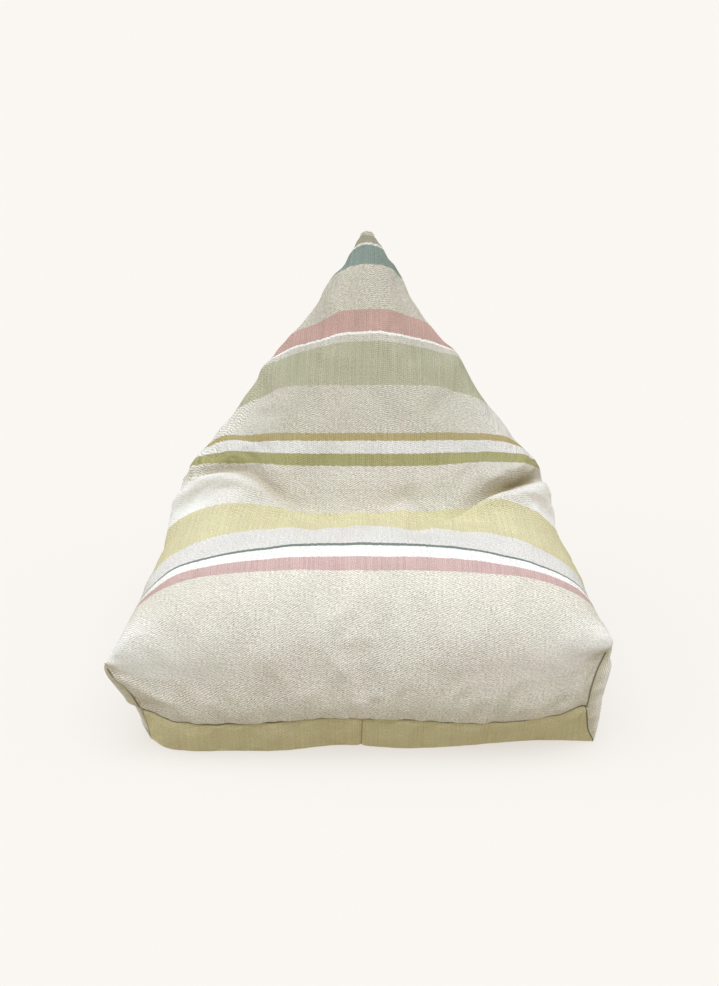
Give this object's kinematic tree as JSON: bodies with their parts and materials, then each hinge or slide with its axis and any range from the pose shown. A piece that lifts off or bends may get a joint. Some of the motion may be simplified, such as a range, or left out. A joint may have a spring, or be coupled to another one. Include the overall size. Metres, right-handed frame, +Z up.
{
  "type": "lounge pouf",
  "caption": "Striped cloth lounge pouf with a dented seat, a back that rises to a point and boxed front corners.",
  "frame": {"origin": "on the floor under the middle of the pouf's box", "axes": "+Z up, the front with the boxed corners faces -Y, +X to the right as seen from the front"},
  "size_m": [0.89, 1.05, 0.8],
  "materials": {
    "striped_cloth": "heavy natural cotton in a coarse weave, with woven bands of pink, white, pale yellow, olive, ochre, sage green and grey-green",
    "underside_cloth": "the same heavy natural cotton, plain"
  },
  "bodies": {
    "root": {"seat_and_back": "striped_cloth", "underside_left": "underside_cloth", "underside_right": "underside_cloth"}
  },
  "joints": []
}
